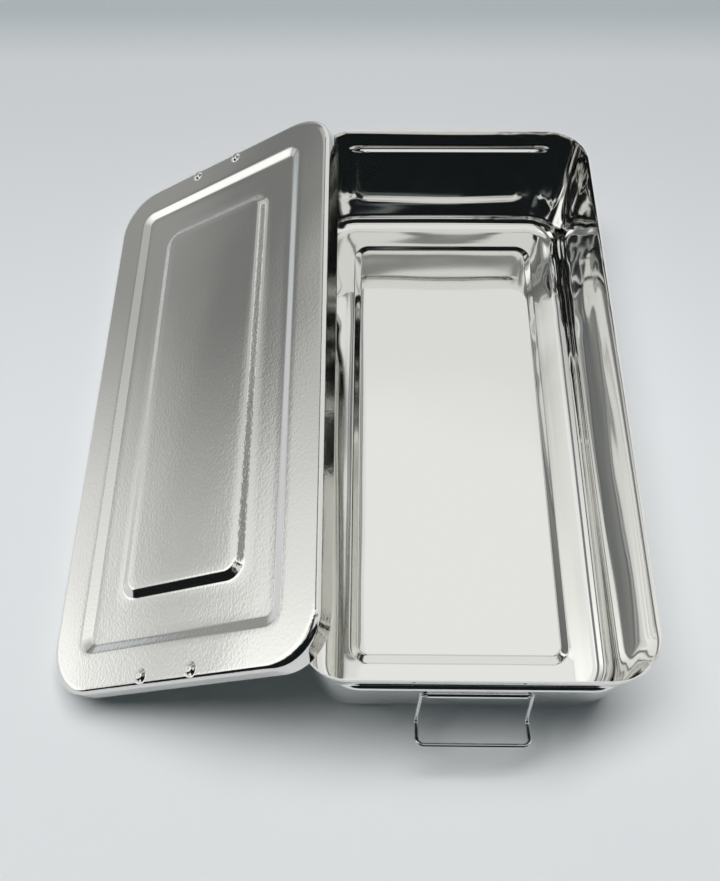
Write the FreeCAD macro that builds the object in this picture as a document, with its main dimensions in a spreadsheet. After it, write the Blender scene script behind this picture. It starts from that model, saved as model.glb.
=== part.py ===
"""Instrument sterilization container: a deep drawn pan, its loose lid and two wire bails.

Millimetres. The origin is the middle of the pan's footprint on the table, +Y runs along the
pan and +Z is up. The lid is drawn flat in its own frame and then leaned on the pan's left corners.
"""
import FreeCAD, Part
import math
import os

import Sketcher

Vector = FreeCAD.Vector
Rotation = FreeCAD.Rotation
Placement = FreeCAD.Placement

# Driving dimensions
SIZES = {
    # Sheet and wire stock
    "sheet": 0.6,
    "wire": 2.0,
    # Pan, over its rim
    "pan_width": 152.0,
    "pan_length": 305.0,
    "pan_height": 76.0,
    "pan_corner": 22.0,
    "wall_draft": 0.5,
    "foot_radius": 9.0,
    # Raised panel of the pan's floor
    "panel_width": 110.0,
    "panel_length": 262.0,
    "panel_corner": 9.0,
    "panel_rise": 2.0,
    "panel_run": 5.0,
    "panel_round": 4.0,
    # Bead across each end wall, hollow inside and proud outside
    "bead_drop": 13.3,
    "bead_straight": 98.0,
    "bead_groove": 1.8,
    "bead_runout": 18.0,
    # Lid
    "lid_clearance": 1.0,
    "lid_depth": 11.0,
    "lid_fold": 1.6,
    "border_side": 19.3,
    "border_end": 18.4,
    "recess_corner": 8.0,
    "recess_depth": 1.8,
    "recess_run": 4.5,
    "channel_side": 21.2,
    "channel_end": 23.4,
    "crown_corner": 8.0,
    "crown_rise": 2.4,
    "crown_run": 4.5,
    "lid_round": 3.0,
    # Nibs at the lid's ends, which the bails snap behind
    "nib_pitch": 29.0,
    "nib_shift": -2.5,
    "nib_inset": 5.0,
    "nib_width": 6.6,
    "nib_rise": 1.6,
    "nib_slope": 40.0,
    "nib_mouth": 2.3,
    # Hinge straps
    "strap_length": 43.5,
    "strap_flange": 4.0,
    "strap_shift": 1.5,
    "pivot_drop": 25.5,
    "wire_play": 0.1,
    "wall_play": 0.2,
    # Bails
    "bail_bend": 2.3,
    "bail_knee": 2.6,
    "bail_corner": 3.4,
    "bail_splay": 1.2,
    "bail_gap": 0.3,
    "nib_seat": 0.6,
    "near_bail_angle": 15.0,
    "far_bail_angle": 2.0,
    # How the lid leans on the pan's left corners
    "rest_gap": 0.3,
    "lid_overlap": 8.4,
    "lid_forward": 3.6,
    "lid_turn": 0.75,
    "lid_pitch": 0.73,
    "rim_gap": 0.4,
}

doc = FreeCAD.newDocument("container")
sheet = doc.addObject("Spreadsheet::Sheet", "Sizes")
for row, (alias, value) in enumerate(SIZES.items(), start=1):
    sheet.set(f"A{row}", alias)
    sheet.set(f"B{row}", str(value))
    sheet.setAlias(f"B{row}", alias)
doc.recompute()


def size(alias):
    """A driving dimension, read back from the sheet."""
    return float(sheet.get(alias))


def cells(text):
    """An expression on the sheet, from text that names its cells in braces."""
    return text.replace("{", "Sizes.").replace("}", "")


def origin_plane(body, role):
    """One of a body's own origin planes, by its role."""
    return next(item for item in body.Origin.OriginFeatures if item.Role == role)


def new_body(name):
    """A sub-part; its label names its file."""
    body = doc.addObject("PartDesign::Body", name)
    body.Label = name
    return body


def new_sketch(body, name, role, height="0"):
    """A sketch on one of its body's origin planes, moved along the normal to a height."""
    sketch = body.newObject("Sketcher::SketchObject", name)
    sketch.AttachmentSupport = [(origin_plane(body, role), "")]
    sketch.MapMode = "FlatFace"
    sketch.setExpression(".AttachmentOffset.Base.z", cells(height))
    doc.recompute()
    return sketch


def bind(sketch, kind, places, start, name, expression):
    """Add a dimension at a start value, name it and bind it to the sheet."""
    index = sketch.addConstraint(Sketcher.Constraint(kind, *places, start))
    sketch.renameConstraint(index, name)
    sketch.setExpression(f"Constraints.{name}", cells(expression))


def rules(sketch, *rows):
    """Add geometric constraints, one per row."""
    sketch.addConstraint([Sketcher.Constraint(*row) for row in rows])


def line(sketch, start, end):
    sketch.addGeometry(Part.LineSegment(Vector(*start, 0), Vector(*end, 0)), False)


def arc(sketch, centre, radius, start, end):
    """An arc between two directions in degrees."""
    circle = Part.Circle(Vector(*centre, 0), Vector(0, 0, 1), radius)
    sketch.addGeometry(Part.ArcOfCircle(circle, math.radians(start), math.radians(end)), False)


def rounded_rectangle(body, name, width, length, corner, height="0"):
    """A centred rectangle with round corners, its sizes given as expressions."""
    sketch = new_sketch(body, name, "XY_Plane", height)
    w, l, r = 60.0, 120.0, 5.0
    line(sketch, (r - w, -l), (w - r, -l))
    arc(sketch, (w - r, r - l), r, 270, 360)
    line(sketch, (w, r - l), (w, l - r))
    arc(sketch, (w - r, l - r), r, 0, 90)
    line(sketch, (w - r, l), (r - w, l))
    arc(sketch, (r - w, l - r), r, 90, 180)
    line(sketch, (-w, l - r), (-w, r - l))
    arc(sketch, (r - w, r - l), r, 180, 270)
    rules(sketch, *[("Tangent", i, 2, (i + 1) % 8, 1) for i in range(8)])
    rules(sketch, ("Horizontal", 0), ("Vertical", 2), ("Horizontal", 4), ("Vertical", 6))
    rules(sketch, ("Equal", 1, 3), ("Equal", 1, 5), ("Equal", 1, 7), ("Symmetric", 1, 3, 5, 3, -1, 1))
    bind(sketch, "DistanceX", (6, 1, 2, 1), 2 * w, "Width", width)
    bind(sketch, "DistanceY", (0, 1, 4, 1), 2 * l, "Length", length)
    bind(sketch, "Radius", (1,), r, "Corner", corner)
    doc.recompute()
    return sketch


def extrude(body, kind, name, sketch, length, taper="0", flip=False, midplane=False):
    """Pad or pocket a sketch; its length and its taper in degrees are expressions."""
    feature = body.newObject(f"PartDesign::{kind}", name)
    feature.Profile = sketch
    feature.Reversed = flip
    feature.Midplane = midplane
    feature.setExpression("Length", cells(length))
    feature.setExpression("TaperAngle", cells(taper))
    doc.recompute()
    return feature


def round_edges(body, name, feature, radius, *tests):
    """Fillet a feature's edges whose boxes pass one of the tests."""
    edges = enumerate(feature.Shape.Edges, start=1)
    names = [f"Edge{i}" for i, edge in edges if any(test(edge.BoundBox) for test in tests)]
    fillet = body.newObject("PartDesign::Fillet", name)
    fillet.Base = (feature, names)
    fillet.setExpression("Radius", cells(radius))
    doc.recompute()
    return fillet


def flat_at(z, reach):
    """A test for edges that lie flat at one height, inside a reach (x, y) from the middle."""
    def test(box):
        level = max(abs(box.ZMin - z), abs(box.ZMax - z)) < 1e-3
        inside_x = max(abs(box.XMin), abs(box.XMax)) < reach[0]
        inside_y = max(abs(box.YMin), abs(box.YMax)) < reach[1]
        return level and inside_x and inside_y
    return test


def mirror_to_all(body, name, feature):
    """Mirror a feature across both of the body's upright planes."""
    mirrors = []
    for role in ("YZ_Plane", "XZ_Plane"):
        mirror = doc.addObject("PartDesign::Mirrored", f"{name}{role[:2]}")
        mirror.MirrorPlane = (origin_plane(body, role), [""])
        mirrors.append(mirror)
    pattern = body.newObject("PartDesign::MultiTransform", name)
    pattern.Originals = [feature]
    pattern.Transformations = mirrors
    body.Tip = pattern
    doc.recompute()
    return pattern


def slope_angle(rise, run):
    """Taper in degrees, inwards, that gives a riser its rise over its run."""
    return f"atan({rise} / {run}) / 1 deg - 90"


def sheet_shift(rise, run):
    """How far a riser's other face starts beside it, so that the sheet keeps its thickness."""
    return f"{{sheet}} * (1 / cos(atan({rise} / {run})) - 1) * {run} / {rise}"


# Pan: drawn shell with a raised floor panel and a bead across each end wall

REACH = (size("pan_width"), size("pan_length"))
DRAFT = "tan({wall_draft} * 1 deg)"
BEAD_LEVEL = "{pan_height} - {bead_drop}"
BEAD_MIDDLE = f"{{pan_length}} / 2 - {{sheet}} - {{bead_drop}} * {DRAFT}"


def bead(body, name, kind, radius):
    """A round bead swept along half an end wall, running out into it, then mirrored to all four."""
    spine = new_sketch(body, f"{name}Path", "XY_Plane", BEAD_LEVEL)
    straight, level, bend, turn = 40.0, 150.0, 18.0, 32
    line(spine, (0, level), (straight, level))
    arc(spine, (straight, level - bend), bend, 90 - turn, 90)
    rules(spine, ("PointOnObject", 0, 1, -2), ("Horizontal", 0), ("Tangent", 0, 2, 1, 2))
    bind(spine, "DistanceX", (0, 1, 0, 2), straight, "Straight", "{bead_straight} / 2")
    bind(spine, "DistanceY", (-1, 1, 0, 1), level, "Middle", BEAD_MIDDLE)
    bind(spine, "Radius", (1,), bend, "Runout", "{bead_runout}")
    bind(spine, "DistanceY", (1, 1, 1, 2), 2.7, "Retreat", "{bead_groove} + 2 * {sheet}")
    ring = new_sketch(body, f"{name}Section", "YZ_Plane")
    ring.addGeometry(Part.Circle(Vector(level, 60, 0), Vector(0, 0, 1), 2.4), False)
    bind(ring, "DistanceX", (-1, 1, 0, 3), level, "Middle", BEAD_MIDDLE)
    bind(ring, "DistanceY", (-1, 1, 0, 3), 60.0, "Level", BEAD_LEVEL)
    bind(ring, "Radius", (0,), 2.4, "Bend", radius)
    doc.recompute()
    pipe = body.newObject(f"PartDesign::{kind}Pipe", name)
    pipe.Profile = ring
    pipe.Spine = (spine, ["Edge1", "Edge2"])
    doc.recompute()
    return mirror_to_all(body, f"{name}Ends", pipe)


def build_pan():
    """The pan stands on the ring round its raised floor panel."""
    pan = new_body("box_pan")
    loss = f"2 * {{pan_height}} * {DRAFT}"
    foot = rounded_rectangle(
        pan, "PanFoot", f"{{pan_width}} - {loss}", f"{{pan_length}} - {loss}", f"{{pan_corner}} - {loss} / 2"
    )
    extrude(pan, "Pad", "PanBlock", foot, "{pan_height}", "{wall_draft}")
    bead(pan, "BeadRidge", "Additive", "{bead_groove} + {sheet}")
    mouth = rounded_rectangle(
        pan, "PanMouth", "{pan_width} - 2 * {sheet}", "{pan_length} - 2 * {sheet}",
        "{pan_corner} - {sheet}", "{pan_height}",
    )
    cavity = extrude(pan, "Pocket", "PanCavity", mouth, "{pan_height} - {sheet}", "-{wall_draft}")
    inner = round_edges(pan, "InnerFoot", cavity, "{foot_radius} - {sheet}", flat_at(size("sheet"), REACH))
    round_edges(pan, "OuterFoot", inner, "{foot_radius}", flat_at(0, REACH))
    bead(pan, "BeadGroove", "Subtractive", "{bead_groove}")

    slope = slope_angle("{panel_rise}", "{panel_run}")
    shift = sheet_shift("{panel_rise}", "{panel_run}")
    top = rounded_rectangle(pan, "PanelTop", "{panel_width}", "{panel_length}", "{panel_corner}", "{sheet}")
    extrude(pan, "Pad", "FloorPanel", top, "{panel_rise}", slope)
    under = rounded_rectangle(
        pan, "PanelUnder", f"{{panel_width}} - 2 * {shift}", f"{{panel_length}} - 2 * {shift}",
        f"{{panel_corner}} - {shift}",
    )
    hollow = extrude(pan, "Pocket", "PanelHollow", under, "{panel_rise}", slope, flip=True)
    near = (size("panel_width") / 2 + 1, size("panel_length") / 2 + 1)
    floor, rise = size("sheet"), size("panel_rise")
    crests = round_edges(pan, "PanelCrest", hollow, "{panel_round}", flat_at(floor + rise, near), flat_at(0, near))
    round_edges(pan, "PanelRoot", crests, "{panel_round} - {sheet}", flat_at(floor, near), flat_at(rise, near))
    return pan


# Lid: a flat border, a sunk ring, a raised crown and two nibs at each end

LID_GROWTH = "2 * ({lid_clearance} + {sheet})"
LID_LENGTH = f"({{pan_length}} + {LID_GROWTH})"
LID_WIDTH = f"({{pan_width}} + {LID_GROWTH})"


def nib_sketch(body, name, height, radius):
    """Four circles, two beside the middle of each end of the lid."""
    sketch = new_sketch(body, name, "XY_Plane", height)
    corners = [(side, end) for side in (-1, 1) for end in (-1, 1)]
    for index, (side, end) in enumerate(corners):
        x, y = side * 14.0, end * 149.0
        sketch.addGeometry(Part.Circle(Vector(x, y, 0), Vector(0, 0, 1), 3.0), False)
        across = f"{side} * {{nib_pitch}} / 2 + {{nib_shift}}"
        bind(sketch, "DistanceX", (-1, 1, index, 3), x, f"Across{index}", across)
        bind(sketch, "DistanceY", (-1, 1, index, 3), y, f"Along{index}", f"{end} * ({LID_LENGTH} / 2 - {{nib_inset}})")
        bind(sketch, "Radius", (index,), 3.0, f"Round{index}", radius)
    doc.recompute()
    return sketch


def mouth_sketch(body, name):
    """The slot that opens each nib towards the lid's end."""
    sketch = new_sketch(body, name, "XY_Plane", "{nib_rise}")
    corners = [(side, end) for side in (-1, 1) for end in (-1, 1)]
    for index, (side, end) in enumerate(corners):
        first = 4 * index
        x, y, w, l = side * 14.0, end * 149.0, 1.2, end * 3.0
        points = [(x - w, y), (x + w, y), (x + w, y + l), (x - w, y + l)]
        for corner in range(4):
            line(sketch, points[corner], points[(corner + 1) % 4])
        rules(sketch, *[("Coincident", first + i, 2, first + (i + 1) % 4, 1) for i in range(4)])
        rules(sketch, ("Horizontal", first), ("Vertical", first + 1), ("Horizontal", first + 2), ("Vertical", first + 3))
        across = f"{side} * {{nib_pitch}} / 2 + {{nib_shift}} - {{nib_mouth}} / 2"
        start = f"{end} * ({LID_LENGTH} / 2 - {{nib_inset}} + {{nib_width}} / 2 - {{nib_mouth}} / 2)"
        stop = f"{end} * ({LID_LENGTH} / 2 - {{nib_inset}} + {{nib_width}} / 2)"
        bind(sketch, "DistanceX", (-1, 1, first, 1), x - w, f"Across{index}", across)
        bind(sketch, "DistanceX", (first, 1, first, 2), 2 * w, f"Wide{index}", "{nib_mouth}")
        bind(sketch, "DistanceY", (-1, 1, first, 1), y, f"Start{index}", start)
        bind(sketch, "DistanceY", (-1, 1, first + 2, 1), y + l, f"Stop{index}", stop)
    doc.recompute()
    return sketch


def build_lid():
    """The lid is drawn with the top of its border at height 0."""
    lid = new_body("lid_cover")
    corner = "{pan_corner} + {lid_clearance} + {sheet}"
    outline = rounded_rectangle(lid, "LidOutline", LID_WIDTH, LID_LENGTH, corner)
    extrude(lid, "Pad", "LidBlock", outline, "{lid_depth}", flip=True)
    mouth = rounded_rectangle(
        lid, "LidMouth", f"{LID_WIDTH} - 2 * {{sheet}}", f"{LID_LENGTH} - 2 * {{sheet}}",
        f"{corner} - {{sheet}}", "-{lid_depth}",
    )
    cavity = extrude(lid, "Pocket", "LidCavity", mouth, "{lid_depth} - {sheet}", flip=True)
    sheet_low = -size("sheet")
    inner = round_edges(lid, "InnerFold", cavity, "{lid_fold} - {sheet}", flat_at(sheet_low, REACH))
    round_edges(lid, "OuterFold", inner, "{lid_fold}", flat_at(0, (2 * REACH[0], 2 * REACH[1])))

    slope = slope_angle("{recess_depth}", "{recess_run}")
    shift = sheet_shift("{recess_depth}", "{recess_run}")
    width, length = f"({LID_WIDTH} - 2 * {{border_side}})", f"({LID_LENGTH} - 2 * {{border_end}})"
    under = rounded_rectangle(
        lid, "RecessUnder", f"{width} + 2 * {shift}", f"{length} + 2 * {shift}",
        f"{{recess_corner}} + {shift}", "-{sheet}",
    )
    extrude(lid, "Pad", "RecessFloor", under, "{recess_depth}", slope, flip=True)
    over = rounded_rectangle(lid, "RecessOver", width, length, "{recess_corner}")
    extrude(lid, "Pocket", "Recess", over, "{recess_depth}", slope)

    slope = slope_angle("{crown_rise}", "{crown_run}")
    shift = sheet_shift("{crown_rise}", "{crown_run}")
    width, length = f"({width} - 2 * {{channel_side}})", f"({length} - 2 * {{channel_end}})"
    over = rounded_rectangle(lid, "CrownOver", width, length, "{crown_corner}", "-{recess_depth}")
    extrude(lid, "Pad", "Crown", over, "{crown_rise}", slope)
    under = rounded_rectangle(
        lid, "CrownUnder", f"{width} - 2 * {shift}", f"{length} - 2 * {shift}",
        f"{{crown_corner}} - {shift}", "-{recess_depth} - {sheet}",
    )
    hollow = extrude(lid, "Pocket", "CrownHollow", under, "{crown_rise}", slope, flip=True)

    fold = size("lid_fold")
    near = (REACH[0] / 2 - fold, REACH[1] / 2 - fold)
    floor, crown = -size("recess_depth"), size("crown_rise") - size("recess_depth")
    convex = [flat_at(z, near) for z in (0, crown, floor + sheet_low)]
    hollows = [flat_at(z, near) for z in (sheet_low, floor, crown + sheet_low)]
    crests = round_edges(lid, "LidCrest", hollow, "{lid_round}", *convex)
    round_edges(lid, "LidRoot", crests, "{lid_round} - {sheet}", *hollows)

    lean = "-{nib_slope}"
    dome = nib_sketch(lid, "NibOver", "0", "{nib_width} / 2")
    raised = extrude(lid, "Pad", "NibDome", dome, "{nib_rise}", lean)
    round_edges(lid, "NibTop", raised, "{nib_rise} / 2", flat_at(size("nib_rise"), REACH))
    dent = nib_sketch(lid, "NibUnder", "-{sheet}", "{nib_width} / 2 - {sheet} / 2")
    extrude(lid, "Pocket", "NibDent", dent, "{nib_rise}", lean, flip=True)
    extrude(lid, "Pocket", "NibMouth", mouth_sketch(lid, "NibSlot"), "{nib_rise} + 2 * {sheet}")
    return lid


# Hinge strap: a flat strip with a half round channel, which holds a bail's wire to the wall

WIRE_OFFSET = "{wire} / 2 + {wall_play}"
BORE = "{wire} / 2 + {wire_play}"


def arch(body, name, radius):
    """A round-topped channel that stands on the wall, its round end about the wire's axis."""
    sketch = new_sketch(body, name, "YZ_Plane")
    c, r = 1.2, 1.5
    line(sketch, (0, -r), (c, -r))
    arc(sketch, (c, 0), r, -90, 90)
    line(sketch, (c, r), (0, r))
    line(sketch, (0, r), (0, -r))
    rules(sketch, ("Tangent", 0, 2, 1, 1), ("Tangent", 1, 2, 2, 1), ("Coincident", 2, 2, 3, 1))
    rules(sketch, ("Coincident", 3, 2, 0, 1), ("Horizontal", 0), ("Horizontal", 2))
    rules(sketch, ("PointOnObject", 3, 1, -2), ("PointOnObject", 3, 2, -2), ("PointOnObject", 1, 3, -1))
    bind(sketch, "DistanceX", (-1, 1, 1, 3), c, "Offset", WIRE_OFFSET)
    bind(sketch, "Radius", (1,), r, "Round", radius)
    doc.recompute()
    return sketch


def build_strap(name):
    """The strap's back lies in its upright plane and the wire's axis runs in front of it."""
    strap = new_body(name)
    strip = new_sketch(strap, f"{name}_strip", "YZ_Plane")
    t, h = 0.6, 5.0
    points = [(0, -h), (t, -h), (t, h), (0, h)]
    for corner in range(4):
        line(strip, points[corner], points[(corner + 1) % 4])
    rules(strip, *[("Coincident", i, 2, (i + 1) % 4, 1) for i in range(4)])
    rules(strip, ("Horizontal", 0), ("Vertical", 1), ("Horizontal", 2), ("Symmetric", 3, 1, 3, 2, -1, 1))
    bind(strip, "DistanceX", (0, 1, 0, 2), t, "Thick", "{sheet}")
    bind(strip, "DistanceY", (1, 1, 1, 2), 2 * h, "Tall", f"2 * ({BORE} + {{sheet}} + {{strap_flange}})")
    doc.recompute()
    extrude(strap, "Pad", f"{name}_plate", strip, "{strap_length}", midplane=True)
    outer = arch(strap, f"{name}_outer", f"{BORE} + {{sheet}}")
    extrude(strap, "Pad", f"{name}_channel", outer, "{strap_length}", midplane=True)
    inner = arch(strap, f"{name}_inner", BORE)
    extrude(strap, "Pocket", f"{name}_bore", inner, "{strap_length} + 2 * {sheet}", midplane=True)
    return strap


# Bail: one wire, bent to a loop whose two ends meet inside the strap

def bent_wire(points, bends, radius):
    """A round wire along points; each inner point is turned by an arc of its own bend radius."""
    edges = []
    here = points[0]
    for before, corner, after, bend in zip(points, points[1:], points[2:], bends):
        arriving, leaving = (corner - before).normalize(), (after - corner).normalize()
        turn = arriving.getAngle(leaving)
        reach = bend * math.tan(turn / 2)
        start, end = corner - arriving * reach, corner + leaving * reach
        inward = (leaving - arriving).normalize()
        middle = corner + inward * (bend / math.cos(turn / 2) - bend)
        edges.append(Part.LineSegment(here, start).toShape())
        edges.append(Part.Arc(start, middle, end).toShape())
        here = end
    edges.append(Part.LineSegment(here, points[-1]).toShape())
    spine = Part.Wire(edges)
    heading = points[1] - points[0]
    section = Part.Wire([Part.makeCircle(radius, points[0], heading)])
    return spine.makePipeShell([section], True, True)


def pivot_place():
    """Distance of the wire's axis from the middle of the pan, and its height."""
    draft = math.radians(size("wall_draft"))
    drop = size("pivot_drop")
    wall = size("pan_length") / 2 - drop * math.tan(draft)
    offset = size("wire") / 2 + size("wall_play")
    return wall, wall + offset * math.cos(draft), size("pan_height") - drop - offset * math.sin(draft)


def bail_legs():
    """Leg and crank, as (out, up) steps from the pivot when the bail is closed over the lid."""
    wall, out, height = pivot_place()
    edge = size("pan_length") / 2 + size("lid_clearance") + size("sheet")
    lid_top = size("pan_height") + size("sheet")
    bead_drop = size("bead_drop")
    bead_crest = size("pan_length") / 2 + size("bead_groove") - bead_drop * math.tan(math.radians(size("wall_draft")))
    passed = [(edge, lid_top - size("lid_depth")), (bead_crest, size("pan_height") - bead_drop)]
    clear = size("wire") / 2 + size("bail_gap")
    slope = max((reach + clear - out) / (level - height) for reach, level in passed)
    knee_up = lid_top + size("wire") / 2 + size("wire_play") - height
    seat = edge - size("nib_inset") - size("nib_width") / 2 - size("nib_seat")
    return (slope * knee_up, knee_up), (seat - out, knee_up)


def build_bail(name):
    """The bail hangs straight down from its axis, with its crank pointing out along +Y."""
    (leg_out, leg_up), (seat_out, seat_up) = bail_legs()
    lean = math.pi - math.atan2(leg_out, leg_up)

    def hang(out, up):
        return out * math.cos(lean) + up * math.sin(lean), up * math.cos(lean) - out * math.sin(lean)

    leg, seat = hang(leg_out, leg_up), hang(seat_out, seat_up)
    foot_x = size("strap_length") / 2 + size("wire_play") + size("bail_bend")
    knee_x = foot_x + size("bail_splay")
    half_joint = size("wire_play") / 2
    right = [(half_joint, 0, 0), (foot_x, 0, 0), (knee_x, *leg), (knee_x, *seat)]
    left = [(-x, y, z) for x, y, z in reversed(right)]
    bends = [size("bail_bend"), size("bail_knee"), size("bail_corner")]
    shape = bent_wire([Vector(*p) for p in right + left], bends + bends[::-1], size("wire") / 2)
    bail = doc.addObject("Part::Feature", name)
    bail.Label = name
    bail.Shape = shape
    return bail


# Assembly

CORNER_STEPS = 90
LEAN_STEP = 1e-3


def skirt_edge(side):
    """Yield points round the two corners of the lid's lower edge on one side, in the lid's own frame."""
    growth = size("lid_clearance") + size("sheet")
    straight = size("pan_width") / 2 - size("pan_corner"), size("pan_length") / 2 - size("pan_corner")
    outer = size("pan_corner") + growth
    for reach in (outer, outer - size("sheet")):
        for step in range(CORNER_STEPS + 1):
            bearing = math.pi / 2 * step / CORNER_STEPS
            across, along = straight[0] + reach * math.cos(bearing), straight[1] + reach * math.sin(bearing)
            for end in (-1, 1):
                yield Vector(side * across, end * along, -size("lid_depth"))


def lid_place(angle):
    """The lid leaned at an angle in degrees, its left edge on the table, its right one over the pan."""
    lean = Rotation(Vector(1, 0, 0), -size("lid_pitch")) * Rotation(Vector(0, 1, 0), -angle)
    turn = Rotation(Vector(0, 0, 1), size("lid_turn")) * lean
    half_width = size("pan_width") / 2 + size("lid_clearance") + size("sheet")
    across = size("lid_overlap") - size("pan_width") / 2 - half_width * math.cos(math.radians(angle))
    lowest = min(turn.multVec(point).z for point in skirt_edge(-1))
    return Placement(Vector(across, size("lid_forward"), size("rest_gap") - lowest), turn)


def over_pan(point):
    """Whether a point lies above the pan, inside the outline of its rim."""
    corner = size("pan_corner")
    past_side = max(abs(point.x) - size("pan_width") / 2 + corner, 0)
    past_end = max(abs(point.y) - size("pan_length") / 2 + corner, 0)
    return math.hypot(past_side, past_end) <= corner


def rim_clearance(place):
    """Least height over the rim of the lid's lower edge, where its right corners cross the pan."""
    points = (place.multVec(point) for point in skirt_edge(1))
    heights = [point.z - size("pan_height") for point in points if over_pan(point)]
    return min(heights, default=math.inf)


def lid_angle():
    """Least angle at which the lid's lower edge clears the rim, found by halving."""
    low, high = 0.0, 90.0
    while high - low > LEAN_STEP:
        middle = (low + high) / 2
        if rim_clearance(lid_place(middle)) < size("rim_gap"):
            low = middle
        else:
            high = middle
    return high


def place_parts(lid, straps, bails):
    """Seat every piece where it is in use, the lid leaned on the pan's left rim."""
    lid.Placement = lid_place(lid_angle())
    wall, out, height = pivot_place()
    shift, draft = size("strap_shift"), size("wall_draft")
    swings = (size("near_bail_angle"), size("far_bail_angle"))
    for end, strap, bail, swing in zip((-1, 1), straps, bails, swings):
        facing = Rotation(Vector(0, 0, 1), 180 if end < 0 else 0)
        seat = Vector(shift, end * wall, size("pan_height") - size("pivot_drop"))
        strap.Placement = Placement(seat, facing * Rotation(Vector(1, 0, 0), -draft))
        axis = Vector(shift, end * out, height)
        bail.Placement = Placement(axis, facing * Rotation(Vector(1, 0, 0), swing))


pan = build_pan()
lid = build_lid()
straps = [build_strap("near_hinge_strap"), build_strap("far_hinge_strap")]
bails = [build_bail("near_bail"), build_bail("far_bail")]
place_parts(lid, straps, bails)
doc.recompute()

for item in doc.Objects:
    if "Invalid" in item.State or "Error" in item.State:
        raise RuntimeError(f"{item.Name} failed: {item.State}")

os.makedirs("parts", exist_ok=True)
for node in [pan, lid, *straps, *bails]:
    if node.Shape.isNull() or not node.Shape.isValid():
        raise RuntimeError(f"{node.Label} has no valid shape")
    node.Shape.exportStep(f"parts/{node.Label}.step")
    print(f"{node.Label}: {len(node.Shape.Solids)} solid, {node.Shape.Volume:.1f} mm3")
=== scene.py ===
"""Looks of the instrument container: a mirror polished pan, its satin lid and two wire bails.

Metres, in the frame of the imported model: the origin is the middle of the pan's footprint on the
table, +Y runs along the pan and +Z is up.
"""
import logging
import math
from dataclasses import dataclass
from enum import Enum
from typing import Any, Optional, Sequence, Union

import bmesh
import bpy
from mathutils import Euler, Matrix, Vector


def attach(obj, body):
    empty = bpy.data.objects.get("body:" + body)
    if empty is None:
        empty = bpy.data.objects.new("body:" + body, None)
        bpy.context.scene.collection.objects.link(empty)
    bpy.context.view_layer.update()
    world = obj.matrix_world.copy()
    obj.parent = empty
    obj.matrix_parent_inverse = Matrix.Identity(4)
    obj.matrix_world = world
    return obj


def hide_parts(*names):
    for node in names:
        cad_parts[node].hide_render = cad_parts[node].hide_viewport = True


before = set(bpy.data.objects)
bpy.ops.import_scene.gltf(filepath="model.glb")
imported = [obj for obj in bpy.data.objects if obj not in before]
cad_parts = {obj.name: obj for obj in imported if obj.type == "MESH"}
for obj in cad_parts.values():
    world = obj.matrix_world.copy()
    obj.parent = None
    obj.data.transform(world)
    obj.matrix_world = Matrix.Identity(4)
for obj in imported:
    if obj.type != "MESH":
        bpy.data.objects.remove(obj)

LOG = logging.getLogger("container")
MM = 0.001
Span = tuple[float, float]
Triple = tuple[float, float, float]
Value = Union["Link", float]


class Axis(Enum):
    """An axis of the frame; its value is its place in a point."""

    X = 0
    Y = 1
    Z = 2


# Shader trees


COOL_LIGHT = (0.62, 0.95, 1.0)
WARM_LIGHT = (1.0, 1.0, 0.985)
COOL_TO_WARM = (0.04, 0.36)


class Link:
    """A shader output; arithmetic on it adds Math nodes."""

    def __init__(self, tree: "Tree", socket: Optional[bpy.types.NodeSocket]) -> None:
        """Wrap one output.

        Args:
            tree: The tree that the output belongs to.
            socket: The output socket, or None where the node has none.
        """
        self.tree = tree
        self.socket = socket

    def math(self, operation: str, *values: Value) -> "Link":
        """Add a Math node.

        Args:
            operation: The node's operation.
            values: Its inputs, in order.

        Returns:
            The node's result.
        """
        return self.tree.add("ShaderNodeMath", {"operation": operation}, *values)

    def __add__(self, other: Value) -> "Link":
        """Sum.

        Args:
            other: What is added.

        Returns:
            The sum.
        """
        return self.math("ADD", self, other)

    def __radd__(self, other: float) -> "Link":
        """Sum, reflected.

        Args:
            other: What this is added to.

        Returns:
            The sum.
        """
        return self.math("ADD", other, self)

    def __sub__(self, other: Value) -> "Link":
        """Difference.

        Args:
            other: What is taken away.

        Returns:
            The difference.
        """
        return self.math("SUBTRACT", self, other)

    def __rsub__(self, other: float) -> "Link":
        """Difference, reflected.

        Args:
            other: What this is taken away from.

        Returns:
            The difference.
        """
        return self.math("SUBTRACT", other, self)

    def __mul__(self, other: Value) -> "Link":
        """Product.

        Args:
            other: What it is multiplied by.

        Returns:
            The product.
        """
        return self.math("MULTIPLY", self, other)

    def __rmul__(self, other: float) -> "Link":
        """Product, reflected.

        Args:
            other: What is multiplied by this.

        Returns:
            The product.
        """
        return self.math("MULTIPLY", other, self)

    def __truediv__(self, other: Value) -> "Link":
        """Quotient.

        Args:
            other: What it is divided by.

        Returns:
            The quotient.
        """
        return self.math("DIVIDE", self, other)

    def __neg__(self) -> "Link":
        """Opposite.

        Returns:
            The value with its sign turned.
        """
        return self * -1.0

    def __abs__(self) -> "Link":
        """Size without its sign.

        Returns:
            The size.
        """
        return self.math("ABSOLUTE", self)

    def smooth(self, low: float, high: float) -> "Link":
        """Add a soft step.

        Args:
            low: Where it starts, at 0.
            high: Where it ends, at 1.

        Returns:
            The step.
        """
        settings = {"interpolation_type": "SMOOTHSTEP"}
        return self.tree.add("ShaderNodeMapRange", settings, self, low, high, 0.0, 1.0)


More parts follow.
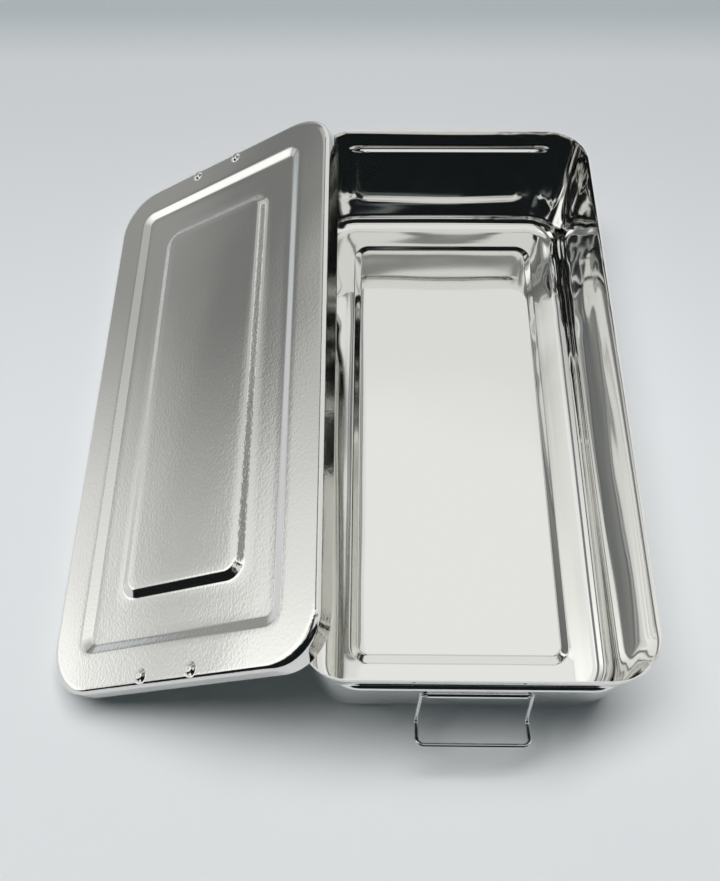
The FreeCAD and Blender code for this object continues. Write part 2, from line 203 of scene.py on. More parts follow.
class Tree:
    """A node tree that is filled by one method."""

    def __init__(self, owner: Union[bpy.types.Material, bpy.types.World]) -> None:
        """Empty the owner's tree.

        Args:
            owner: The material or the world.
        """
        owner.use_nodes = True
        self.nodes = owner.node_tree.nodes
        self.links = owner.node_tree.links
        self.nodes.clear()

    def add(self, kind: str, settings: dict[str, Any], *values: Any, take: str = "",
            **named: Any) -> Link:
        """Add any node.

        Args:
            kind: The node's type.
            settings: Its properties, set before its sockets.
            values: Values or links of its first sockets, in order; None leaves one as it is.
            take: The output to return, or nothing for the first that is in use.
            named: Values or links of sockets by name, with underscores for spaces.

        Returns:
            The output that was asked for.
        """
        node = self.nodes.new(kind)
        for name, setting in settings.items():
            if name == "stops":
                self.set_stops(node.color_ramp, setting)
            else:
                setattr(node, name, setting)
        usable = [socket for socket in node.inputs if socket.enabled]
        pairs = list(zip(usable, values))
        pairs += [(node.inputs[name.replace("_", " ")], value) for name, value in named.items()]
        for socket, value in pairs:
            if isinstance(value, Link):
                self.links.new(value.socket, socket)
            elif value is not None:
                socket.default_value = value
        usable = [socket for socket in node.outputs if socket.enabled]
        return Link(self, node.outputs[take] if take else next(iter(usable), None))

    def part(self, vector: Link, axis: Axis) -> Link:
        """Take one part of a vector.

        Args:
            vector: The vector.
            axis: Which part.

        Returns:
            The part.
        """
        return self.add("ShaderNodeSeparateXYZ", {}, vector, take=axis.name)

    def mix(self, share: Value, first: Any, second: Any) -> Link:
        """Mix two colours.

        Args:
            share: How much of the second.
            first: The first colour, or a link.
            second: The second colour, or a link.

        Returns:
            The mixed colour.
        """
        ends = [(*end, 1.0) if isinstance(end, tuple) else end for end in (first, second)]
        return self.add("ShaderNodeMix", {"data_type": "RGBA"}, share, *ends)

    def glow(self, level: Link, lift: Value) -> tuple[Link, Link]:
        """Tint light by its brightness: what is dark is a little cooler.

        Args:
            level: The brightness.
            lift: What is added to it before the tint is chosen.

        Returns:
            The colour and the brightness.
        """
        return self.mix((level + lift).smooth(*COOL_TO_WARM), COOL_LIGHT, WARM_LIGHT), level

    @staticmethod
    def set_stops(ramp: bpy.types.ColorRamp, stops: Sequence[tuple[float, Sequence[float]]]) -> None:
        """Fill a ramp.

        Args:
            ramp: The ramp.
            stops: Its positions and colours.
        """
        while len(ramp.elements) < len(stops):
            ramp.elements.new(1.0)
        for element, (position, colour) in zip(ramp.elements, stops):
            element.position = position
            element.color = (*colour, 1.0)


# Finishes


HAZE_SCALE = 60.0
HAZE_DETAIL = 3.0
NOISE_MIDDLE = 0.5


@dataclass(frozen=True)
class Wave:
    """Unevenness of a sheet, as noise that is drawn out along some axes.

    Attributes:
        height: How high it is, in metres.
        size: Its width across, along and up, in metres.
        detail: How many finer layers it has.
    """

    height: float
    size: Triple
    detail: float = 1.0

    def build(self, tree: Tree, place: Link) -> Link:
        """Add its nodes.

        Args:
            tree: The material's tree.
            place: The point on the piece.

        Returns:
            The height at that point.
        """
        drawn_out = tree.add("ShaderNodeMapping", {}, place, Scale=[1 / size for size in self.size])
        noise = tree.add("ShaderNodeTexNoise", {}, drawn_out, Scale=1.0, Detail=self.detail)
        return (noise - NOISE_MIDDLE) * self.height


@dataclass(frozen=True)
class Steel:
    """Stainless sheet or wire.

    Attributes:
        name: The material's name.
        colour: Its colour where it mirrors straight back.
        roughness: How far its gloss is spread.
        peel: Its fine unevenness.
        haze: How much its gloss varies from place to place.
    """

    name: str
    colour: Triple
    roughness: float
    peel: Wave = Wave(2e-6, (0.002, 0.002, 0.002), 2.0)
    haze: float = 0.3

    def relief(self, tree: Tree, place: Link) -> Link:
        """Work out the height of its unevenness.

        Args:
            tree: The material's tree.
            place: The point on the piece.

        Returns:
            The height in metres.
        """
        return self.peel.build(tree, place)

    def build(self) -> bpy.types.Material:
        """Make the material.

        Returns:
            The material.
        """
        material = bpy.data.materials.new(self.name)
        tree = Tree(material)
        place = tree.add("ShaderNodeTexCoord", {}, take="Object")
        normal = tree.add("ShaderNodeBump", {}, Distance=1.0, Height=self.relief(tree, place))
        blotch = tree.add("ShaderNodeTexNoise", {}, place, Scale=HAZE_SCALE, Detail=HAZE_DETAIL)
        roughness = self.roughness * (1.0 + (blotch - NOISE_MIDDLE) * (2 * self.haze))
        surface = tree.add(
            "ShaderNodeBsdfPrincipled", {}, Base_Color=(*self.colour, 1.0), Metallic=1.0,
            Roughness=roughness, Normal=normal,
        )
        tree.add("ShaderNodeOutputMaterial", {}, surface)
        return material


@dataclass(frozen=True)
class PanSteel(Steel):
    """Polished sheet of the pan, with the waves that drawing left in its walls and floor.

    Attributes:
        side_flow: Long flow lines of the side walls.
        end_flow: Waves of the end walls.
        corner_flow: Short upright waves of the side walls next to the far end.
        floor_flow: Waves of the floor.
        side_lean: Slope by which the side walls lean out at the near end and in the far half.
        side_lean_along: Where along the pan the one passes into the other.
        end_lean: Slope by which the end walls lean out in their middle and by their corners.
        end_lean_across: How far from the middle the one passes into the other.
        side_from: Distance from the middle past which a point is on a side wall.
        end_from: Distance from the middle past which a point is on an end wall.
        corner_from: Where along the pan the short waves start and are full.
    """

    side_flow: Wave = Wave(1.6e-3, (0.05, 0.25, 0.028), 0.0)
    end_flow: Wave = Wave(1.2e-3, (0.08, 0.05, 0.04), 0.0)
    corner_flow: Wave = Wave(1.8e-3, (0.05, 0.022, 0.07), 0.0)
    floor_flow: Wave = Wave(3e-4, (0.04, 0.05, 0.05), 0.0)
    side_lean: Span = (-0.03, 0.05)
    side_lean_along: Span = (-0.16, 0.06)
    end_lean: Span = (0.04, 0.012)
    end_lean_across: Span = (0.0, 0.075)
    side_from: Span = (0.060, 0.072)
    end_from: Span = (0.136, 0.148)
    corner_from: Span = (0.03, 0.11)

    def relief(self, tree: Tree, place: Link) -> Link:
        """Work out the height of its unevenness.

        Args:
            tree: The material's tree.
            place: The point on the piece.

        Returns:
            The height in metres.
        """
        across, along, height = (tree.part(place, axis) for axis in Axis)
        side = abs(across).smooth(*self.side_from)
        end = abs(along).smooth(*self.end_from)
        corner = side * along.smooth(*self.corner_from)
        walls = side * self.side_flow.build(tree, place) + end * self.end_flow.build(tree, place)
        floor = self.floor_flow.build(tree, place) * ((1.0 - side) * (1.0 - end))
        upright = corner * self.corner_flow.build(tree, place)
        near, far = self.side_lean
        lean_out = side * (along.smooth(*self.side_lean_along) * (far - near) + near)
        middle, outer = self.end_lean
        aside = abs(across).smooth(*self.end_lean_across)
        lean_out = lean_out + end * (aside * (outer - middle) + middle)
        return self.peel.build(tree, place) + walls + floor + upright - lean_out * height


@dataclass(frozen=True)
class LidSteel(Steel):
    """Satin sheet of the lid, with an orange peel that fades towards its far end.

    Attributes:
        sag: Its broad waves.
        fade_along: Where along the lid the peel starts to fade and where it has faded.
        fade_to: Share of the peel that is left there.
    """

    sag: Wave = Wave(4e-4, (0.05, 0.08, 0.05))
    fade_along: Span = (-0.05, 0.10)
    fade_to: float = 0.35

    def relief(self, tree: Tree, place: Link) -> Link:
        """Work out the height of its unevenness.

        Args:
            tree: The material's tree.
            place: The point on the piece.

        Returns:
            The height in metres.
        """
        fade = 1.0 - tree.part(place, Axis.Y).smooth(*self.fade_along) * (1.0 - self.fade_to)
        return self.peel.build(tree, place) * fade + self.sag.build(tree, place)


PAN_STEEL = PanSteel("pan_steel", colour=(0.87, 0.87, 0.85), roughness=0.05)
LID_STEEL = LidSteel(
    "lid_steel", colour=(0.82, 0.82, 0.795), roughness=0.085,
    peel=Wave(3.4e-5, (0.0012, 0.0016, 0.0012)),
)
STRAP_STEEL = Steel("strap_steel", colour=(0.82, 0.83, 0.83), roughness=0.12)
# Painted shade: the wire's colour is darker than the strap's steel, standing in for the dark reflections
# along the wire.
DARKENED_WIRE_STEEL = Steel("darkened_wire_steel", colour=(0.64, 0.65, 0.65), roughness=0.04)


# Pressed sheets


SHEET = 0.6 * MM
BEND_STEP = math.radians(8.0)
LEAST_BEND_STEPS = 3
SAME_PLACE = 1e-6
# The two of a row's measures that gaps and bends are worked out from: half width and height
MAIN_AXES = (0, 3)
EDGE_SHARE = 0.15
EDGE_STEPS = 2
CUT_ANGLE = math.radians(60.0)
SMOOTH_ANGLE = math.radians(50.0)
NIB_SMOOTH_ANGLE = math.radians(40.0)


@dataclass(frozen=True)
class Line:
    """One closed line round a pressed sheet, in millimetres: a rectangle with round corners.

    Attributes:
        half_x: Half its width.
        half_y: Half its length.
        corner: Radius of its corners.
        height: Its height.
        bend: Radius of the sheet's bend along it.
        step: Widest gap between the rows from here to the next line.
    """

    half_x: float
    half_y: float
    corner: float
    height: float
    bend: float = 0.0
    step: float = 6.0

    def row(self) -> Vector:
        """Gather the line's measures.

        Returns:
            Half width, half length, corner radius and height in metres.
        """
        return Vector((self.half_x, self.half_y, self.corner, self.height)) * MM


@dataclass(frozen=True)
class Blank:
    """How finely a sheet is divided round its edge.

    Attributes:
        arc: Steps round each corner.
        wide: Steps along each short side.
        long: Steps along each long side.
    """

    arc: int
    wide: int
    long: int

    def outline(self, row: Vector) -> list[Vector]:
        """Place the points of one row.

        Args:
            row: Half width, half length, corner radius and height.

        Returns:
            The points, counter-clockwise from the right side's far end.
        """
        half_x, half_y, corner, height = row
        points: list[Vector] = []
        for quarter, steps in enumerate((self.wide, self.long, self.wide, self.long)):
            side_x, side_y = ((1, 1), (-1, 1), (-1, -1), (1, -1))[quarter]
            middle = Vector((side_x * (half_x - corner), side_y * (half_y - corner), height))
            for step in range(self.arc + 1):
                turn = math.pi / 2 * (quarter + step / self.arc)
                points.append(middle + corner * Vector((math.cos(turn), math.sin(turn), 0.0)))
            end = points[-1]
            run = [(2 * (corner - half_x), 0), (0, 2 * (corner - half_y))][quarter % 2]
            way = Vector((*run, 0.0)) * (1 if quarter < 2 else -1)
            points += [end + way * step / steps for step in range(1, steps)]
        return points


def bend_rows(before: Vector, at: Vector, after: Vector, radius: float) -> list[Vector]:
    """Round the sheet's bend along one line.

    Args:
        before: The row where the flat before the bend starts.
        at: The row where the two flats would meet.
        after: The row where the flat after the bend ends.
        radius: The bend's radius.

    Returns:
        The rows round the bend.
    """
    back, on = before - at, after - at
    flat_back, flat_on = (Vector([way[axis] for axis in MAIN_AXES]) for way in (back, on))
    turn = math.pi - flat_back.angle(flat_on)
    reach = radius * math.tan(turn / 2)
    steps = max(LEAST_BEND_STEPS, math.ceil(turn / BEND_STEP))
    rows = []
    for step in range(steps + 1):
        part = turn * step / steps
        rise = radius * (1 - math.cos(part))
        fall = reach - radius * math.sin(part) + rise / math.tan(turn)
        rows.append(at + back * (fall / flat_back.length) + on * (rise / math.sin(turn) / flat_on.length))
    return rows


def section(lines: Sequence[Line]) -> list[Vector]:
    """Work out a sheet's rows from the lines that it bends along.

    Args:
        lines: The lines, from the sheet's edge to its middle.

    Returns:
        The rows, with those of the bends and of the flats between them.
    """
    corners = [line.row() for line in lines]
    rows = [corners[0]]
    for index, line in enumerate(lines[1:], start=1):
        inner = index < len(lines) - 1 and line.bend > 0
        if inner:
            ahead = bend_rows(corners[index - 1], corners[index], corners[index + 1], line.bend * MM)
        else:
            ahead = [corners[index]]
        start, gap = rows[-1], ahead[0] - rows[-1]
        length = Vector([gap[axis] for axis in MAIN_AXES]).length
        count = math.ceil(length / (lines[index - 1].step * MM))
        rows += [start + gap * step / count for step in range(1, count)] + ahead
    return rows


def drawn(name: str, rows: Sequence[Vector], blank: Blank, up: bool = True) -> bpy.types.Object:
    """Draw a sheet row by row from a flat face, and leave its first row open.

    Args:
        name: The piece's name.
        rows: Its rows, from its edge to its middle.
        blank: How finely it is divided.
        up: Whether its middle shows its outside from above.

    Returns:
        The piece, one face thick, with its faces outwards.
    """
    deselect()
    count = len(blank.outline(rows[0]))
    bpy.ops.mesh.primitive_circle_add(vertices=count, fill_type="NGON")
    piece = bpy.context.object
    piece.name = name
    bpy.ops.object.mode_set(mode="EDIT")
    for index, row in enumerate(rows):
        if index:
            bpy.ops.mesh.extrude_region_move()
        net = bmesh.from_edit_mesh(piece.data)
        blank_face = next(face for face in net.faces if face.select)
        for vertex, point in zip(blank_face.verts, blank.outline(row)):
            vertex.co = point
        if not index:
            first = blank_face.index
        bmesh.update_edit_mesh(piece.data)
    net = bmesh.from_edit_mesh(piece.data)
    net.faces.ensure_lookup_table()
    bpy.ops.mesh.select_all(action="DESELECT")
    net.faces[first].select = True
    bpy.ops.mesh.delete(type="ONLY_FACE")
    bpy.ops.mesh.select_all(action="SELECT")
    bpy.ops.mesh.remove_doubles(threshold=SAME_PLACE)
    if not up:
        bpy.ops.mesh.flip_normals()
    bpy.ops.object.mode_set(mode="OBJECT")
    return piece


def modify(piece: bpy.types.Object, kind: str, **settings: Any) -> None:
    """Add a modifier to a piece and apply it.

    Args:
        piece: The piece.
        kind: The modifier's type.
        settings: Its settings.
    """
    deselect()
    piece.select_set(True)
    bpy.context.view_layer.objects.active = piece
    modifier = piece.modifiers.new(kind.lower(), kind)
    for name, value in settings.items():
        setattr(modifier, name, value)
    bpy.ops.object.modifier_apply(modifier=modifier.name)


def thicken(piece: bpy.types.Object, thickness: float) -> None:
    """Give a sheet its wall inwards and break its cut edges.

    Args:
        piece: The sheet.
        thickness: The wall.
    """
    modify(piece, "SOLIDIFY", thickness=thickness, offset=-1.0, use_even_offset=True)
    modify(
        piece, "BEVEL", width=EDGE_SHARE * thickness, segments=EDGE_STEPS, limit_method="ANGLE",
        angle_limit=CUT_ANGLE,
    )
    bpy.ops.object.shade_smooth_by_angle(angle=SMOOTH_ANGLE)


def dress(piece: bpy.types.Object, finish: Steel) -> None:
    """Give a piece its finish.

    Args:
        piece: The piece.
        finish: The finish.
    """
    piece.data.materials.clear()
    piece.data.materials.append(finish.build())
    LOG.info("%s: %d faces, %s", piece.name, len(piece.data.polygons), finish.name)


@dataclass
class Pan:
    """The deep drawn pan with its raised floor panel and the beads in its end walls.

    Attributes:
        wall: Its lines from the rim to the middle of the floor panel.
        blank: How finely it is divided.
        bead_height: Height of the beads' middle.
        bead_round: Radius of a bead's ridge.
        bead_straight: Length of a bead at its full depth.
        bead_runout: Radius by which its ends run out.
        bead_soft: How softly it leaves the wall.
    """

    wall: tuple[Line, ...] = (
        Line(76.0, 152.5, 22.0, 76.0),
        Line(75.925, 152.425, 21.925, 67.4, step=0.33),
        Line(75.845, 152.345, 21.845, 58.0),
        Line(75.337, 151.837, 21.337, 0.0, 9.0, 3.0),
        Line(66.337, 142.837, 12.337, 0.0, step=3.0),
        Line(55.4, 131.4, 9.4, 0.0, 0.5, 0.4),
        Line(55.1, 131.1, 9.1, 0.3, 0.5, 1.0),
        Line(51.3, 127.3, 5.3, 0.75, 0.5, 0.4),
        Line(51.0, 127.0, 5.0, 1.05, 0.5, 4.0),
        Line(0.5, 76.5, 0.4, 1.05),
    )
    blank: Blank = Blank(20, 44, 80)
    bead_height: float = 62.7 * MM
    bead_round: float = 2.4 * MM
    bead_straight: float = 98 * MM
    bead_runout: float = 18 * MM
    bead_soft: float = 0.25 * MM

    def bead(self, x: float, z: float) -> float:
        """How far a bead stands out of its wall.

        Args:
            x: Place across the wall.
            z: Height.

        Returns:
            The distance.
        """
        past = max(0.0, abs(x) - self.bead_straight / 2)
        if past >= self.bead_runout or abs(z - self.bead_height) >= self.bead_round:
            return 0.0
        retreat = self.bead_runout - math.sqrt(self.bead_runout ** 2 - past ** 2)
        stand = math.sqrt(self.bead_round ** 2 - (z - self.bead_height) ** 2) - SHEET - retreat
        return (stand + math.sqrt(stand ** 2 + self.bead_soft ** 2)) / 2 if stand > -SHEET else 0.0

    def build(self) -> bpy.types.Object:
        """Make the pan.

        Returns:
            The pan.
        """
        pan = drawn("pan_sheet", section(self.wall), self.blank, up=False)
        below_bead = self.wall[2]
        for vertex in pan.data.vertices:
            x, y, z = vertex.co
            if abs(y) > below_bead.half_y * MM - self.bead_round:
                vertex.co.y += math.copysign(self.bead(x, z), y)
        thicken(pan, SHEET)
        dress(pan, PAN_STEEL)
        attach(pan, "pan")
        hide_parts("box_pan")
        return pan


@dataclass
class Lid:
    """The pressed lid, leaned on the pan's left rim, in millimetres and degrees.

    Attributes:
        form: Its lines from the skirt's foot to the middle of the crown.
        blank: How finely it is divided.
        nib_form: A nib's lines from its foot to its top.
        nib_blank: How finely a nib is divided.
        nibs: Places of the nibs on the border.
        mouth: Width, length and height of the slot that opens a nib.
        mouth_out: How far outside the nib's foot the slot's middle lies.
        place: Where the middle of its border lies.
        lean: Its turn about its length.
        pitch: How far its near end is raised.
        turn: Its turn about the vertical.
    """

    form: tuple[Line, ...] = (
        Line(77.6, 154.1, 23.6, -11.0, step=1.0),
        Line(77.2, 153.7, 23.2, 0.0, 2.6),
        Line(74.4, 150.9, 25.5, 0.0, step=3.0),
        Line(58.3, 135.7, 8.0, 0.0, 3.0, 1.5),
        Line(53.8, 131.2, 4.5, -1.8, 3.0, 4.0),
        Line(37.1, 112.3, 10.0, -1.8, 3.0, 1.5),
        Line(32.6, 107.8, 6.0, 0.6, 3.0, 4.0),
        Line(0.5, 75.7, 0.4, 0.6),
    )
    blank: Blank = Blank(20, 24, 50)
    nib_form: tuple[Line, ...] = (
        Line(3.7, 3.7, 3.7, -0.03, step=0.4),
        Line(3.1, 3.1, 3.1, 0.0, 1.2, 0.4),
        Line(1.5, 1.5, 1.5, 1.4, 1.4, 0.3),
        Line(0.05, 0.05, 0.05, 1.4),
    )
    nib_blank: Blank = Blank(12, 1, 1)
    nibs: tuple[Span, ...] = ((-17.0, 149.1), (12.0, 149.1), (-17.0, -149.1), (12.0, -149.1))
    mouth: Triple = (2.3, 4.6, 1.8)
    mouth_out: float = 0.6
    place: Triple = (-134.593, 3.6, 50.621)
    lean: float = 30.310
    pitch: float = 0.73
    turn: float = 0.75

    def nib(self, across: float, along: float) -> bpy.types.Object:
        """Make one nib, open towards the lid's end.

        Args:
            across: Its place across the lid, in millimetres.
            along: Its place along the lid, in millimetres.

        Returns:
            The nib.
        """
        nib = drawn("nib", section(self.nib_form), self.nib_blank)
        modify(nib, "SOLIDIFY", thickness=SHEET / 2, offset=-1.0)
        foot = self.nib_form[1].half_x
        middle = Vector((0.0, math.copysign(foot + self.mouth_out, along), self.mouth[2] / 2))
        deselect()
        bpy.ops.mesh.primitive_cube_add(size=1.0, location=middle * MM)
        tool = bpy.context.object
        bpy.ops.transform.resize(value=Vector(self.mouth) * MM)
        bpy.ops.object.transform_apply(location=True, rotation=True, scale=True)
        modify(nib, "BOOLEAN", operation="DIFFERENCE", object=tool, solver="EXACT")
        bpy.data.objects.remove(tool)
        bpy.ops.object.shade_smooth_by_angle(angle=NIB_SMOOTH_ANGLE)
        nib.location = (across * MM, along * MM, 0.0)
        bpy.ops.object.transform_apply(location=True, rotation=True, scale=True)
        return nib

    def build(self) -> bpy.types.Object:
        """Make the lid.

        Returns:
            The lid.
        """
        lid = drawn("lid_sheet", section(self.form), self.blank)
        thicken(lid, SHEET)
        nibs = [self.nib(across, along) for across, along in self.nibs]
        deselect()
        for piece in (*nibs, lid):
            piece.select_set(True)
        bpy.context.view_layer.objects.active = lid
        bpy.ops.object.join()
        turns = (("Z", self.turn), ("X", -self.pitch), ("Y", -self.lean))
        stand = Matrix.Translation(Vector(self.place) * MM)
        for axis, angle in turns:
            stand = stand @ Matrix.Rotation(math.radians(angle), 4, axis)
        lid.matrix_world = stand
        bpy.ops.object.transform_apply(location=True, rotation=True, scale=True)
        dress(lid, LID_STEEL)
        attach(lid, "lid")
        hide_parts("lid_cover")
        return lid


# Studio


@dataclass(frozen=True)
class Card:
    """A glowing sheet above the object, which only its mirrors show: a painted reflection that lights no
    matt surface and casts no shadow.

    Attributes:
        name: Its name.
        height: How high it hangs.
        start: The corner that its shades start from.
        end: The corner that they end at.
        axis: The axis that they run along.
        shades: Its brightness on the way, each after the share of the way where it is.
        lift: What is added to its brightness before the tint is chosen.
    """

    name: str
    height: float
    start: Span
    end: Span
    axis: Axis
    shades: tuple[Span, ...]
    lift: float = 0.1

    def hang(self) -> bpy.types.Object:
        """Hang the sheet.

        Returns:
            The sheet.
        """
        deselect()
        bpy.ops.mesh.primitive_plane_add(size=1.0)
        sheet = bpy.context.object
        sheet.name = self.name
        size = [abs(end - start) for start, end in zip(self.start, self.end)]
        middle = [(end + start) / 2 for start, end in zip(self.start, self.end)]
        bpy.ops.transform.resize(value=(*size, 1.0))
        bpy.ops.transform.translate(value=(*middle, self.height))
        bpy.ops.object.transform_apply(location=True, rotation=True, scale=True)
        material = bpy.data.materials.new(self.name)
        tree = Tree(material)
        place = tree.add("ShaderNodeTexCoord", {}, take="Object")
        start, end = (corner[self.axis.value] for corner in (self.start, self.end))
        way = (tree.part(place, self.axis) - start) / (end - start)
        stops = [(position, (shade,) * 3) for position, shade in self.shades]
        # Brightness of the painted reflection along the sheet.
        level = tree.add("ShaderNodeValToRGB", {"stops": stops}, way)
        glow = tree.add("ShaderNodeEmission", {}, *tree.glow(level, self.lift))
        tree.add("ShaderNodeOutputMaterial", {}, glow)
        sheet.data.materials.append(material)
        # Only mirrors see it, so it paints a reflection and neither lights matt surfaces nor casts a
        # shadow.
        sheet.visible_camera = sheet.visible_diffuse = sheet.visible_shadow = False
        return sheet


@dataclass(frozen=True)
class Sky:
    """The surroundings: light from above and behind the object, dark behind the camera.

    A span says where something starts and where it is full, as a part of the direction that is
    looked in.

    Attributes:
        lit: The lit side, along Y.
        wrap: How much further it reaches round to the left and the right.
        zenith: The top, along Z.
        left: The left side, against X.
        far: Its far part, along Y.
        far_top: Where that part gets brighter again, along Z.
        near_end: Where its near part ends, along Y.
        dip: A darker band on it, along Z.
        dip_end: Where that band ends, along Z.
        gap: The light above the dark side, along Z.
        gap_end: Where that light ends to the left and the right.
        level: Brightness of the lit side and of the gap.
        zenith_more: What the top adds to it.
        left_more: What the left side adds.
        near_more: What its near part adds.
        far_less: Share that its far part takes away.
        far_top_back: What comes back of that share further up.
        dip_less: Share that the darker band takes away.
        dark: Brightness of the dark side.
        fill: Brightness for matt surfaces.
        pale: Brightness where the surroundings are seen directly.
        lift: What is added to mirrored light before the tint is chosen.
    """

    lit: Span = (-0.04, 0.12)
    wrap: float = 0.30
    zenith: Span = (0.84, 0.90)
    left: Span = (0.05, 0.30)
    far: Span = (0.25, 0.60)
    far_top: Span = (0.26, 0.36)
    near_end: Span = (0.14, 0.30)
    dip: Span = (0.15, 0.25)
    dip_end: Span = (0.28, 0.36)
    gap: Span = (0.66, 0.70)
    gap_end: Span = (0.40, 0.60)
    level: float = 0.80
    zenith_more: float = 0.08
    left_more: float = 0.12
    near_more: float = 0.30
    far_less: float = 0.64
    far_top_back: float = 0.18
    dip_less: float = 0.40
    dark: float = 0.012
    fill: float = 0.06
    pale: float = 0.62
    lift: float = 0.2

    def light(self) -> bpy.types.World:
        """Light the scene from all round.

        Returns:
            The world.
        """
        world = bpy.data.worlds.new("studio")
        bpy.context.scene.world = world
        tree = Tree(world)
        way = tree.add("ShaderNodeTexCoord", {}, take="Generated")
        across, along, up = (tree.part(way, axis) for axis in Axis)
        lit = (along + abs(across) * self.wrap).smooth(*self.lit)
        left = (-across).smooth(*self.left)
        near_left = left * (1.0 - along.smooth(*self.near_end))
        less = self.far_less - up.smooth(*self.far_top) * self.far_top_back
        dip = left * up.smooth(*self.dip) * (1.0 - up.smooth(*self.dip_end))
        level = self.level + up.smooth(*self.zenith) * self.zenith_more
        level = level + left * self.left_more + near_left * self.near_more
        level = level * (1.0 - left * along.smooth(*self.far) * less) * (1.0 - dip * self.dip_less)
        gap = up.smooth(*self.gap) * (1.0 - abs(across).smooth(*self.gap_end))
        level = lit * level + (1.0 - lit) * (gap * self.level + self.dark)
        mirrored = tree.add("ShaderNodeLightPath", {}, take="Is Glossy Ray")
        seen = tree.add("ShaderNodeLightPath", {}, take="Is Camera Ray")
        strength = level * mirrored + (1.0 - mirrored - seen) * self.fill + seen * self.pale
        background = tree.add("ShaderNodeBackground", {}, *tree.glow(strength, mirrored * self.lift))
        tree.add("ShaderNodeOutputWorld", {}, background)
        return world


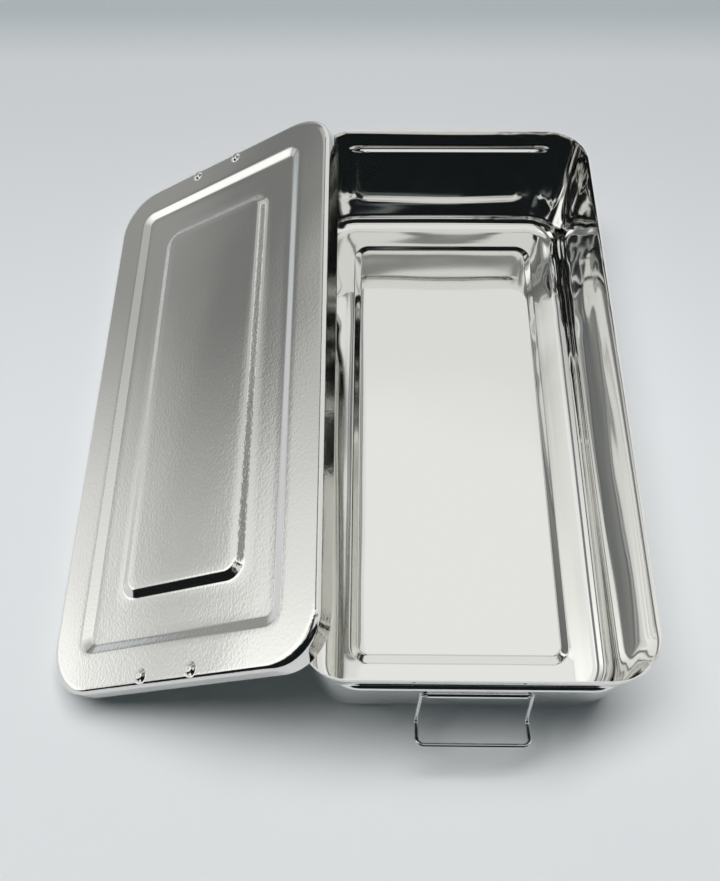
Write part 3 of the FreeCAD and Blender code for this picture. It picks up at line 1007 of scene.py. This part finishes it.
@dataclass
class Studio:
    """Floor, lamp, cards and the camera at the photograph's view.

    Attributes:
        eye: The camera's place.
        turn: Its rotation in degrees.
        lens: Its focal length in millimetres.
        sensor: The picture's long side that the focal length is for.
        clip: The nearest that it sees.
        floor_along: Where the floor's colours start and end, along Y.
        reach: How far the floor goes from the middle.
        floor_colours_and_shade: The floor's colours on the way, each after the share of the way where it
            is: pale grey in front, then painted shade that darkens it towards the back, deepest in a
            painted shade band just past 0.3 m behind the middle.
        floor_roughness: How far its gloss is spread.
        window: Place of the lamp, above and behind the object.
        window_size: The lamp's width and height.
        window_power: The lamp's power in watts.
        cards: What hangs above the object and shows in the mirrors: painted dark reflections of the
            person behind the camera with bright strips between, and painted bright and dark stripes that
            the right wall mirrors.
    """

    eye: Triple = (-0.0462, -0.2095, 0.4162)
    turn: Triple = (25.95, 0.394, 0.553)
    lens: float = 33.297
    sensor: float = 36.0
    clip: float = 0.01
    floor_along: Span = (-0.30, 0.60)
    reach: float = 1.2
    # Painted shade: the floor darkens towards the back and is darkest in a band just past 0.3 m behind
    # the middle, standing in for a less lit backdrop.
    floor_colours_and_shade: tuple[tuple[float, Triple], ...] = (
        (0.00, (0.93, 0.935, 0.945)), (0.33, (0.86, 0.87, 0.885)), (0.60, (0.70, 0.705, 0.73)),
        (0.67, (0.68, 0.69, 0.71)), (0.73, (0.47, 0.51, 0.53)), (1.00, (0.50, 0.54, 0.56)),
    )
    floor_roughness: float = 0.7
    window: Triple = (-0.2, 0.44, 2.3)
    window_size: Span = (2.4, 0.65)
    window_power: float = 51.0
    cards: tuple[Card, ...] = (
        # Painted reflections: dark where the person behind the camera would be mirrored, bright strips
        # between, and bright and dark stripes that the right wall mirrors.
        Card("onlooker_reflection", 0.436, (-0.35, -0.10), (0.25, -0.90), Axis.Y, (
            (0.000, 0.80), (0.010, 0.80), (0.022, 0.24), (0.040, 0.22), (0.052, 0.80), (0.150, 0.80),
            (0.166, 0.010), (1.000, 0.010),
        )),
        Card("hand_reflection", 0.434, (-0.06, -0.290), (0.07, -0.335), Axis.Y, (
            (0.0, 0.010), (0.40, 0.16), (0.55, 0.16), (1.0, 0.010),
        )),
        Card("arm_reflection", 0.434, (-0.075, -0.10), (-0.25, -0.24), Axis.X, (
            (0.0, 0.80), (0.06, 0.03), (0.25, 0.02), (0.32, 0.60), (0.38, 0.03), (1.0, 0.02),
        )),
        Card("reflection_streaks", 0.436, (-0.056, -0.08), (-0.23, 0.60), Axis.X, (
            (0.00, 0.80), (0.09, 0.78), (0.115, 0.08), (0.15, 0.55), (0.18, 0.10), (0.22, 0.26),
            (0.42, 0.20), (0.60, 0.17), (0.64, 0.09), (0.68, 0.32), (0.76, 0.36), (0.80, 0.08),
            (0.84, 0.55), (0.88, 0.10), (0.92, 0.90), (1.00, 0.85),
        )),
    )

    def camera(self) -> bpy.types.Object:
        """Set up the camera.

        Returns:
            The camera.
        """
        data = bpy.data.cameras.new("camera")
        data.lens = self.lens
        data.sensor_width = self.sensor
        data.clip_start = self.clip
        camera = bpy.data.objects.new("camera", data)
        bpy.context.scene.collection.objects.link(camera)
        camera.location = self.eye
        camera.rotation_euler = Euler([math.radians(angle) for angle in self.turn])
        bpy.context.scene.camera = camera
        return camera

    def floor(self) -> bpy.types.Object:
        """Lay the floor.

        Returns:
            The floor.
        """
        deselect()
        bpy.ops.mesh.primitive_plane_add(size=2 * self.reach)
        floor = bpy.context.object
        floor.name = "floor"
        material = bpy.data.materials.new("floor")
        tree = Tree(material)
        place = tree.add("ShaderNodeTexCoord", {}, take="Object")
        start, end = self.floor_along
        along = (tree.part(place, Axis.Y) - start) / (end - start)
        # The floor's colour, with its painted shade towards the back.
        colour = tree.add("ShaderNodeValToRGB", {"stops": self.floor_colours_and_shade}, along)
        surface = tree.add(
            "ShaderNodeBsdfPrincipled", {}, Base_Color=colour, Roughness=self.floor_roughness,
        )
        tree.add("ShaderNodeOutputMaterial", {}, surface)
        floor.data.materials.append(material)
        return floor

    def lamp(self) -> bpy.types.Object:
        """Hang the lamp, which mirrors don't show.

        Returns:
            The lamp.
        """
        deselect()
        towards = Vector(self.window).to_track_quat("Z", "Y").to_euler()
        bpy.ops.object.light_add(type="AREA", location=self.window, rotation=towards)
        lamp = bpy.context.object
        lamp.data.shape = "RECTANGLE"
        lamp.data.size, lamp.data.size_y = self.window_size
        lamp.data.energy = self.window_power
        lamp.visible_glossy = False
        return lamp


def deselect() -> None:
    """Deselect everything, so that an operator acts on its own piece only."""
    bpy.ops.object.select_all(action="DESELECT")


def main() -> None:
    """Build the studio and dress every piece."""
    logging.basicConfig(level=logging.INFO, format="%(message)s")
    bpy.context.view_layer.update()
    studio = Studio()
    studio.camera()
    studio.floor()
    Sky().light()
    studio.lamp()
    for card in studio.cards:
        card.hang()
    bpy.context.scene.view_settings.view_transform = "Standard"
    Pan().build()
    Lid().build()
    finishes = {
        "near_hinge_strap": STRAP_STEEL, "far_hinge_strap": STRAP_STEEL,
        "near_bail": DARKENED_WIRE_STEEL, "far_bail": DARKENED_WIRE_STEEL,
    }
    for node, finish in finishes.items():
        dress(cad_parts[node], finish)


if __name__ == "__main__":
    main()
